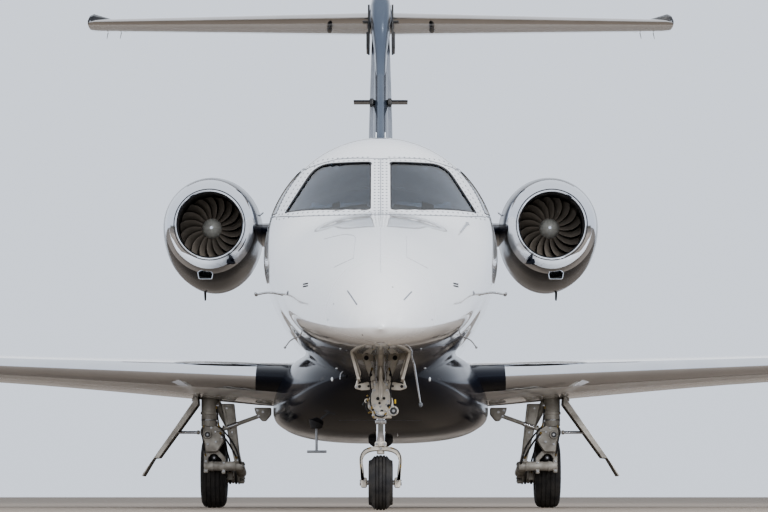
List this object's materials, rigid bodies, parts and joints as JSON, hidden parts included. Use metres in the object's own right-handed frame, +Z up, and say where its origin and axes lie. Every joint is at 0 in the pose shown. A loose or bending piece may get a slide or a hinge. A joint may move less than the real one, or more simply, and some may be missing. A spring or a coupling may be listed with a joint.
{
  "type": "business jet",
  "caption": "Light business jet with rear fuselage engines, T tail, winglets, airstair door and tricycle trailing link gear, parked with its surfaces neutral and its door shut.",
  "frame": {"origin": "on the ground under the middle of the aircraft's length and span", "axes": "+Z up, the nose points to -Y, +X is the aircraft's port side"},
  "size_m": [15.9312, 15.64, 5.123],
  "materials": {
    "pearl_paint": "gloss pearl white",
    "navy_paint": "deep gloss dark navy",
    "bare_metal": "polished",
    "gear_metal": "satin grey enamel and bare steel",
    "engine_metal": "dark titanium",
    "tyre": "matt black",
    "glass": "tinted",
    "leather": "soft grain",
    "cabin_trim": "matt"
  },
  "bodies": {
    "airframe": {"radome": "pearl_paint", "nose_section": "pearl_paint", "forward_fuselage": "pearl_paint", "cabin_fuselage": "pearl_paint", "aft_fuselage": "pearl_paint", "fin": "pearl_paint", "tail_bullet": "pearl_paint", "tailplane": "pearl_paint", "wing_left": "pearl_paint", "wing_right": "pearl_paint", "nose_gear_door_left": "pearl_paint", "nose_gear_door_right": "pearl_paint", "main_gear_door_left": "pearl_paint", "main_gear_door_right": "pearl_paint", "belly_fairing": "navy_paint", "pylon_left": "navy_paint", "pylon_right": "navy_paint", "nacelle_left": "navy_paint", "nacelle_right": "navy_paint", "inlet_lip_left": "bare_metal", "inlet_lip_right": "bare_metal", "nose_gear_leg": "gear_metal", "main_gear_leg_left": "gear_metal", "main_gear_leg_right": "gear_metal", "engine_core_left": "engine_metal", "engine_core_right": "engine_metal", "belly_mast": "engine_metal", "windscreen_left": "glass", "windscreen_right": "glass", "side_window_left": "glass", "side_window_right": "glass", "cabin_windows_left": "glass", "cabin_windows_right": "glass", "pilot_seat": "leather", "copilot_seat": "leather", "cabin_seat_1": "leather", "cabin_seat_2": "leather", "cabin_seat_3": "leather", "cabin_seat_4": "leather", "cabin_floor": "cabin_trim", "instrument_panel": "cabin_trim", "aft_bulkhead": "cabin_trim"},
    "nose_fork": {"nose_gear_fork": "gear_metal"},
    "nose_wheel": {"nose_wheel_tyre": "tyre", "nose_wheel_rim": "bare_metal"},
    "main_wheel_left": {"main_wheel_left_tyre": "tyre", "main_wheel_left_rim": "bare_metal"},
    "fan_left": {"fan_left": "engine_metal"},
    "flap_left": {"flap_left": "pearl_paint"},
    "aileron_left": {"aileron_left": "pearl_paint"},
    "elevator_left": {"elevator_left": "pearl_paint"},
    "main_wheel_right": {"main_wheel_right_tyre": "tyre", "main_wheel_right_rim": "bare_metal"},
    "fan_right": {"fan_right": "engine_metal"},
    "flap_right": {"flap_right": "pearl_paint"},
    "aileron_right": {"aileron_right": "pearl_paint"},
    "elevator_right": {"elevator_right": "pearl_paint"},
    "rudder": {"rudder": "pearl_paint"},
    "entry_door": {"entry_door": "pearl_paint"}
  },
  "joints": [
    {"name": "nose_steering", "type": "hinge", "parent": "airframe", "child": "nose_fork", "pos_m": [0, -5.62, 0.7], "axis": [0, 0, 1], "range_deg": [-20, 20]},
    {"name": "nose_wheel_spin", "type": "hinge", "parent": "nose_fork", "child": "nose_wheel", "pos_m": [0, -5.575, 0.195], "axis": [1, 0, 0], "continuous": true},
    {"name": "main_wheel_left_spin", "type": "hinge", "parent": "airframe", "child": "main_wheel_left", "pos_m": [1.432, 0.53, 0.3], "axis": [1, 0, 0], "continuous": true},
    {"name": "main_wheel_right_spin", "type": "hinge", "parent": "airframe", "child": "main_wheel_right", "pos_m": [-1.432, 0.53, 0.3], "axis": [1, 0, 0], "continuous": true},
    {"name": "fan_left_spin", "type": "hinge", "parent": "airframe", "child": "fan_left", "pos_m": [1.52, 2.06, 2.506], "axis": [0, 1, 0], "continuous": true},
    {"name": "fan_right_spin", "type": "hinge", "parent": "airframe", "child": "fan_right", "pos_m": [-1.52, 2.06, 2.506], "axis": [0, 1, 0], "continuous": true},
    {"name": "flap_left", "type": "hinge", "parent": "airframe", "child": "flap_left", "pos_m": [1.26, 1.24376, 1.02266], "axis": [-0.9717, -0.2253, -0.0707], "range_deg": [0, 35]},
    {"name": "flap_right", "type": "hinge", "parent": "airframe", "child": "flap_right", "pos_m": [-1.26, 1.24376, 1.02266], "axis": [-0.9717, 0.2253, 0.0707], "range_deg": [0, 35]},
    {"name": "aileron_left", "type": "hinge", "parent": "airframe", "child": "aileron_left", "pos_m": [4.64, 2.03316, 1.26785], "axis": [-0.955, -0.291, -0.0573], "range_deg": [-20, 20]},
    {"name": "aileron_right", "type": "hinge", "parent": "airframe", "child": "aileron_right", "pos_m": [-4.64, 2.03316, 1.26785], "axis": [-0.955, 0.291, 0.0573], "range_deg": [-20, 20]},
    {"name": "elevator_left", "type": "hinge", "parent": "airframe", "child": "elevator_left", "pos_m": [0.15, 6.87257, 4.86591], "axis": [-0.993, -0.1166, -0.017], "range_deg": [-20, 15]},
    {"name": "elevator_right", "type": "hinge", "parent": "airframe", "child": "elevator_right", "pos_m": [-0.15, 6.87257, 4.86591], "axis": [-0.993, 0.1166, 0.017], "range_deg": [-20, 15]},
    {"name": "rudder", "type": "hinge", "parent": "airframe", "child": "rudder", "pos_m": [0, 5.9329, 3.04], "axis": [0, 0.458, 0.8889], "range_deg": [-28, 28]},
    {"name": "entry_door", "type": "hinge", "parent": "airframe", "child": "entry_door", "pos_m": [0.6354, -2.84, 1.2618], "axis": [0, 1, 0], "range_deg": [0, 120]}
  ],
  "couplings": [
    {"joint": "flap_right", "follows": "flap_left", "ratio": 1},
    {"joint": "aileron_right", "follows": "aileron_left", "ratio": -1},
    {"joint": "elevator_right", "follows": "elevator_left", "ratio": 1}
  ]
}
